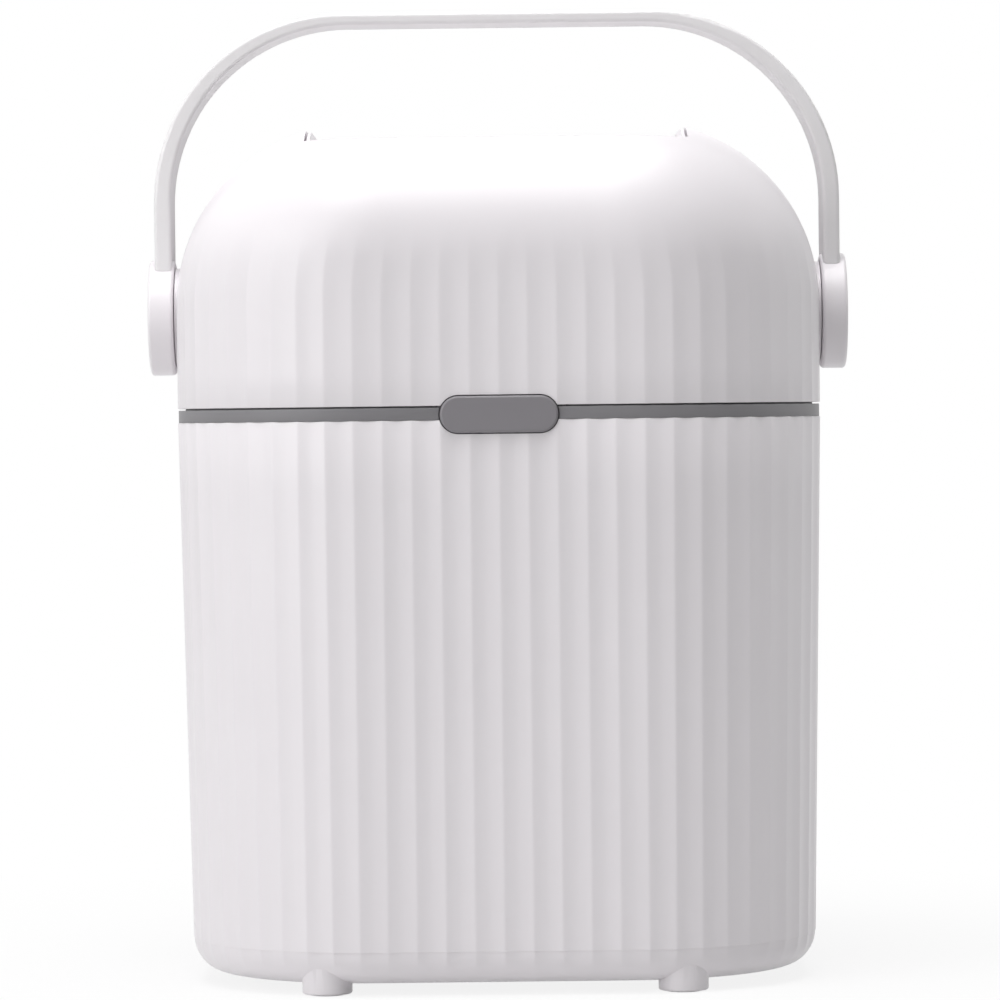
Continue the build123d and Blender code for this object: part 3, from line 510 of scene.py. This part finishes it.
def new_material(name):
    """Empty node material with its shader and the coordinates of the piece."""
    material = bpy.data.materials.new(name)
    material.use_nodes = True
    tree = material.node_tree
    shader = tree.nodes["Principled BSDF"]
    place = tree.nodes.new("ShaderNodeTexCoord")
    return material, tree, shader, place


def add_noise(tree, place, grain, detail=3.0, stretch=None):
    """Noise pattern whose grain is a real size in metres, drawn out along an axis where stretch says so."""
    noise = tree.nodes.new("ShaderNodeTexNoise")
    noise.inputs["Scale"].default_value = 1 / grain
    noise.inputs["Detail"].default_value = detail
    if stretch:
        mapping = tree.nodes.new("ShaderNodeMapping")
        mapping.inputs["Scale"].default_value = stretch
        tree.links.new(place.outputs["Object"], mapping.inputs["Vector"])
        tree.links.new(mapping.outputs["Vector"], noise.inputs["Vector"])
    else:
        tree.links.new(place.outputs["Object"], noise.inputs["Vector"])
    return noise


def add_tone(tree, shader, noise, colour, spread):
    """Slight drift of the colour, darker and lighter than the named one."""
    ramp = tree.nodes.new("ShaderNodeValToRGB")
    ramp.color_ramp.elements[0].position = 0.1
    ramp.color_ramp.elements[1].position = 0.9
    ramp.color_ramp.elements[0].color = [c * (1 - spread) for c in colour] + [1]
    ramp.color_ramp.elements[1].color = [min(c * (1 + spread), 1) for c in colour] + [1]
    tree.links.new(noise.outputs["Fac"], ramp.inputs["Fac"])
    tree.links.new(ramp.outputs["Color"], shader.inputs["Base Color"])


def add_roughness(tree, shader, noise, low, high):
    """Roughness that drifts between two values."""
    spread = tree.nodes.new("ShaderNodeMapRange")
    spread.inputs["From Min"].default_value = 0.1
    spread.inputs["From Max"].default_value = 0.9
    spread.inputs["To Min"].default_value = low
    spread.inputs["To Max"].default_value = high
    tree.links.new(noise.outputs["Fac"], spread.inputs["Value"])
    tree.links.new(spread.outputs["Result"], shader.inputs["Roughness"])


def add_bump(tree, shader, noise, strength, depth, below=None):
    """Surface texture of a real depth in metres, on top of another one."""
    bump = tree.nodes.new("ShaderNodeBump")
    bump.inputs["Strength"].default_value = strength
    bump.inputs["Distance"].default_value = depth
    tree.links.new(noise.outputs["Fac"], bump.inputs["Height"])
    if below:
        tree.links.new(below.outputs["Normal"], bump.inputs["Normal"])
    tree.links.new(bump.outputs["Normal"], shader.inputs["Normal"])
    return bump


def moulded_plastic(name, colour, gloss_low, gloss_high, grain, grain_depth):
    """Injection moulded plastic: faint flow tone, drifting gloss, long sink waves and a fine grain."""
    material, tree, shader, place = new_material(name)
    flow = add_noise(tree, place, 0.045, 2.0)
    gloss = add_noise(tree, place, 0.030, 2.0)
    waves = add_noise(tree, place, 0.050, 0.0)
    fine = add_noise(tree, place, grain, 2.0)
    add_tone(tree, shader, flow, colour, 0.012)
    add_roughness(tree, shader, gloss, gloss_low, gloss_high)
    long_waves = add_bump(tree, shader, waves, 0.1, 0.0002)
    add_bump(tree, shader, fine, 0.2, grain_depth, long_waves)
    return material


def zinc_steel(name, colour):
    """Zinc plated steel with drawn streaks and a slightly cloudy gloss."""
    material, tree, shader, place = new_material(name)
    streaks = add_noise(tree, place, 0.0012, 4.0, (1, 8, 8))
    clouds = add_noise(tree, place, 0.004, 3.0)
    add_tone(tree, shader, clouds, colour, 0.06)
    add_roughness(tree, shader, clouds, 0.26, 0.42)
    add_bump(tree, shader, streaks, 0.3, 0.00005)
    shader.inputs["Metallic"].default_value = 1.0
    return material


def soft_rubber(name, colour):
    """Matt rubber with a dusty tone and a fine skin."""
    material, tree, shader, place = new_material(name)
    dust = add_noise(tree, place, 0.006, 4.0)
    skin = add_noise(tree, place, 0.0004, 3.0)
    add_tone(tree, shader, dust, colour, 0.06)
    add_roughness(tree, shader, dust, 0.62, 0.8)
    add_bump(tree, shader, skin, 0.5, 0.00006)
    return material


def charcoal_felt(name, colour):
    """Dark needled felt: matted fibres, specks of loose wool and a soft sheen."""
    material, tree, shader, place = new_material(name)
    fibres = add_noise(tree, place, 0.0006, 6.0, (1, 3, 1))
    specks = add_noise(tree, place, 0.0022, 5.0)
    add_tone(tree, shader, specks, colour, 0.35)
    add_roughness(tree, shader, fibres, 0.85, 1.0)
    add_bump(tree, shader, fibres, 0.8, 0.0003)
    shader.inputs["Sheen Weight"].default_value = 0.3
    return material


def make_finishes():
    """All finishes by the material slot of the frame that they dress."""
    return {
        "white_plastic": moulded_plastic(
            "white_gloss_plastic", (0.80, 0.77, 0.795), 0.30, 0.36, 0.0007, 0.00001
        ),
        "handle_plastic": moulded_plastic(
            "white_satin_plastic", (0.77, 0.755, 0.765), 0.36, 0.46, 0.0006, 0.00003
        ),
        "gray_plastic": moulded_plastic(
            "gray_satin_plastic", (0.19, 0.185, 0.195), 0.40, 0.50, 0.0005, 0.00004
        ),
        "button_plastic": moulded_plastic(
            "button_satin_plastic", (0.21, 0.20, 0.215), 0.36, 0.46, 0.0005, 0.00004
        ),
        "inner_plastic": moulded_plastic(
            "inner_matt_plastic", (0.70, 0.70, 0.70), 0.46, 0.58, 0.0006, 0.00005
        ),
        "steel": zinc_steel("zinc_steel", (0.62, 0.62, 0.63)),
        "seal_rubber": soft_rubber("seal_rubber", (0.42, 0.42, 0.43)),
        "pad_rubber": soft_rubber("pad_rubber", (0.60, 0.60, 0.61)),
        "charcoal_felt": charcoal_felt("charcoal_felt", (0.035, 0.035, 0.037)),
    }


def dress(piece, material):
    """Gives a piece one finish all over."""
    piece.data.materials.clear()
    piece.data.materials.append(material)


# Stage, light and camera

CAMERA_DISTANCE = 1.9
CAMERA_HEIGHT = 0.2084
FRAME_SIZE = 1000
FOCAL_PIXELS = 5067
LEVEL_ROW = 412.25
CAMERA_ROLL = radians(-0.66)
SENSOR = 36

# The floor's share of painted surface, which takes the shadow, and where it has faded out into pure white
SHADOW_SHARE = 0.14
SHADOW_NEAR = 0.15
SHADOW_FAR = 0.45


def white_to_the_eye(tree, seen, lit):
    """Mixes a shader that cameras, gloss and glass see with the one that lights the object."""
    path = tree.nodes.new("ShaderNodeLightPath")
    either = tree.nodes.new("ShaderNodeMath")
    either.operation = "MAXIMUM"
    every = tree.nodes.new("ShaderNodeMath")
    every.operation = "MAXIMUM"
    mix = tree.nodes.new("ShaderNodeMixShader")
    tree.links.new(path.outputs["Is Camera Ray"], either.inputs[0])
    tree.links.new(path.outputs["Is Glossy Ray"], either.inputs[1])
    tree.links.new(either.outputs[0], every.inputs[0])
    tree.links.new(path.outputs["Is Transmission Ray"], every.inputs[1])
    tree.links.new(every.outputs[0], mix.inputs["Fac"])
    tree.links.new(lit.outputs[0], mix.inputs[1])
    tree.links.new(seen.outputs[0], mix.inputs[2])
    return mix


def make_floor():
    """Wide pale floor that reads as white and keeps the shadow of the pail."""
    bpy.ops.object.select_all(action="DESELECT")
    bpy.ops.mesh.primitive_plane_add(size=24, location=(0, 6, 0))
    floor = bpy.context.object
    floor.name = "floor"
    settle(floor)
    material = bpy.data.materials.new("white_floor")
    material.use_nodes = True
    tree = material.node_tree
    tree.nodes.clear()
    paint = tree.nodes.new("ShaderNodeBsdfDiffuse")
    paint.inputs["Color"].default_value = (0.86, 0.86, 0.86, 1)
    glow = tree.nodes.new("ShaderNodeEmission")
    glow.inputs["Strength"].default_value = 1.0
    place = tree.nodes.new("ShaderNodeTexCoord")
    distance = tree.nodes.new("ShaderNodeVectorMath")
    distance.operation = "LENGTH"
    nearness = tree.nodes.new("ShaderNodeMapRange")
    nearness.interpolation_type = "SMOOTHSTEP"
    nearness.inputs["From Min"].default_value = SHADOW_NEAR
    nearness.inputs["From Max"].default_value = SHADOW_FAR
    nearness.inputs["To Min"].default_value = SHADOW_SHARE
    nearness.inputs["To Max"].default_value = 0.0
    seen = tree.nodes.new("ShaderNodeMixShader")
    tree.links.new(place.outputs["Object"], distance.inputs[0])
    tree.links.new(distance.outputs["Value"], nearness.inputs["Value"])
    tree.links.new(nearness.outputs["Result"], seen.inputs["Fac"])
    tree.links.new(glow.outputs[0], seen.inputs[1])
    tree.links.new(paint.outputs[0], seen.inputs[2])
    bounce = tree.nodes.new("ShaderNodeBsdfDiffuse")
    bounce.inputs["Color"].default_value = (0.78, 0.78, 0.78, 1)
    mix = white_to_the_eye(tree, seen, bounce)
    output = tree.nodes.new("ShaderNodeOutputMaterial")
    tree.links.new(mix.outputs[0], output.inputs["Surface"])
    floor.data.materials.append(material)


def make_world():
    """White surroundings to the eye, and an even fill light on the object."""
    world = bpy.data.worlds.new("studio")
    world.use_nodes = True
    tree = world.node_tree
    tree.nodes.clear()
    seen = tree.nodes.new("ShaderNodeBackground")
    seen.inputs["Color"].default_value = (1, 1, 1, 1)
    lit = tree.nodes.new("ShaderNodeBackground")
    lit.inputs["Color"].default_value = (1, 1, 1, 1)
    lit.inputs["Strength"].default_value = 0.1
    mix = white_to_the_eye(tree, seen, lit)
    output = tree.nodes.new("ShaderNodeOutputWorld")
    tree.links.new(mix.outputs[0], output.inputs["Surface"])
    bpy.context.scene.world = world


def add_lamp(name, place, target, width, height, power):
    """Soft rectangular lamp that shines on a point."""
    lamp = bpy.data.lights.new(name, "AREA")
    lamp.shape = "RECTANGLE"
    lamp.size = width
    lamp.size_y = height
    lamp.energy = power
    holder = bpy.data.objects.new(name, lamp)
    holder.location = place
    direction = Vector(target) - Vector(place)
    holder.rotation_euler = direction.to_track_quat("-Z", "Y").to_euler()
    bpy.context.scene.collection.objects.link(holder)


def make_lamps():
    """Soft boxes at the left, over the lid and high in front, and weak ones behind at both sides."""
    middle = (0, 0, 0.2)
    add_lamp("left_softbox", (-1.583, -1.150, 0.616), middle, 1.5, 1.6, 16.8)
    add_lamp("top_softbox", (0, -0.059, 1.899), middle, 1.3, 1.3, 24.0)
    add_lamp("front_softbox", (-0.299, -0.740, 1.701), middle, 1.1, 0.8, 11.0)
    add_lamp("left_rear_softbox", (-1.890, 0.506, 0.616), middle, 1.3, 1.6, 3.4)
    add_lamp("right_rear_softbox", (1.843, 0.325, 0.530), middle, 1.2, 1.5, 4.2)


def make_camera():
    """Camera level with the rim band, tipped down and rolled as the photograph is."""
    camera = bpy.data.objects.new("camera", bpy.data.cameras.new("camera"))
    camera.data.sensor_width = SENSOR
    camera.data.lens = FOCAL_PIXELS * SENSOR / FRAME_SIZE
    tip = atan((FRAME_SIZE / 2 - LEVEL_ROW) / FOCAL_PIXELS)
    turn = Euler((QUARTER - tip, 0, 0)).to_matrix().to_4x4() @ Matrix.Rotation(CAMERA_ROLL, 4, "Z")
    camera.matrix_world = Matrix.Translation((0, -CAMERA_DISTANCE, CAMERA_HEIGHT)) @ turn
    bpy.context.scene.collection.objects.link(camera)
    bpy.context.scene.camera = camera
    bpy.context.scene.view_settings.view_transform = "Standard"


finishes = make_finishes()
slots = {row["node"]: row["material_slot"] for row in frame["record"]["subparts"]}
for name, node in nodes.items():
    dress(node, finishes[slots[name]])

put_in_place(make_tub(), "base", "tub_shell", "white_plastic")
put_in_place(make_lid(), "lid", "lid_shell", "white_plastic")
put_in_place(eased("rim_band", BAND_EDGE), "base", "rim_band", "gray_plastic")
put_in_place(eased("lid_tray", TRAY_EDGE), "lid", "lid_tray", "white_plastic")

make_floor()
make_world()
make_lamps()
make_camera()
